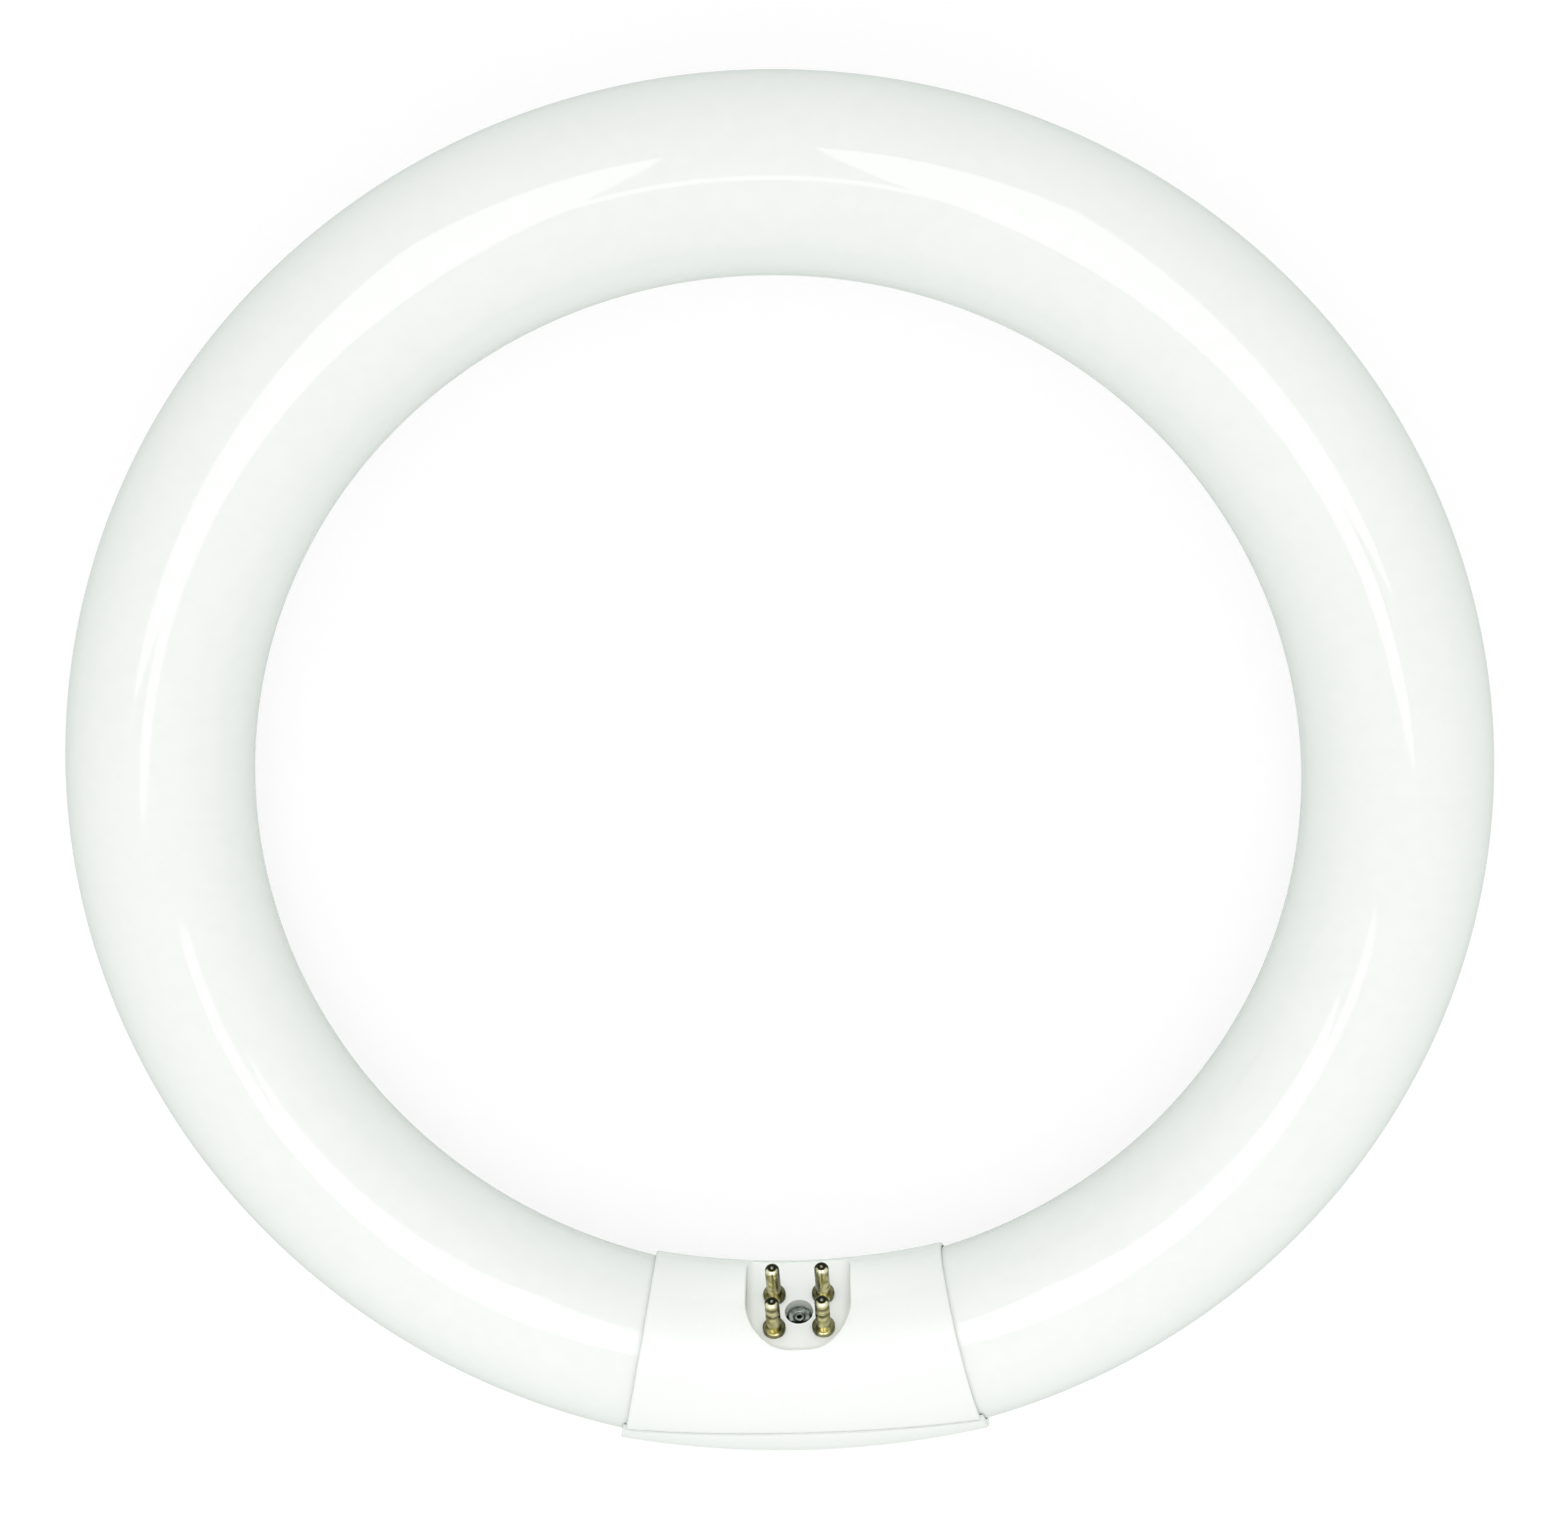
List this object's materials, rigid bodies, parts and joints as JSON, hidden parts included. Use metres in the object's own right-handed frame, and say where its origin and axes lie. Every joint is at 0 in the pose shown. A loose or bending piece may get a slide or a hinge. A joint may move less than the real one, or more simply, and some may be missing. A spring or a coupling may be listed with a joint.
{
  "type": "circular fluorescent tube",
  "caption": "Ring-shaped fluorescent tube whose glass ends meet in a split plastic base, with contact pins standing in a sunken platform that faces the ring's centre.",
  "frame": {"origin": "centre of the ring, on the tube's centre plane", "axes": "+Z along the ring's axis, on the side that the pins lean to; -Y from the centre to the base; +X along the base"},
  "size_m": [0.2158, 0.2165, 0.0301],
  "materials": {
    "milky_glass": "clear gloss outside over an opaque white powder coating inside",
    "white_plastic": "moulded gloss",
    "brass": "bright drawn",
    "steel": "dull plated",
    "tinned_wire": "tinned"
  },
  "bodies": {
    "root": {"glass_tube": "milky_glass", "base_pin_shell": "white_plastic", "base_cover_shell": "white_plastic", "base_rivet": "steel", "contact_pin_left_outer": "brass", "lead_wire_left_outer": "tinned_wire", "contact_pin_left_inner": "brass", "lead_wire_left_inner": "tinned_wire", "contact_pin_right_outer": "brass", "lead_wire_right_outer": "tinned_wire", "contact_pin_right_inner": "brass", "lead_wire_right_inner": "tinned_wire"}
  },
  "joints": []
}
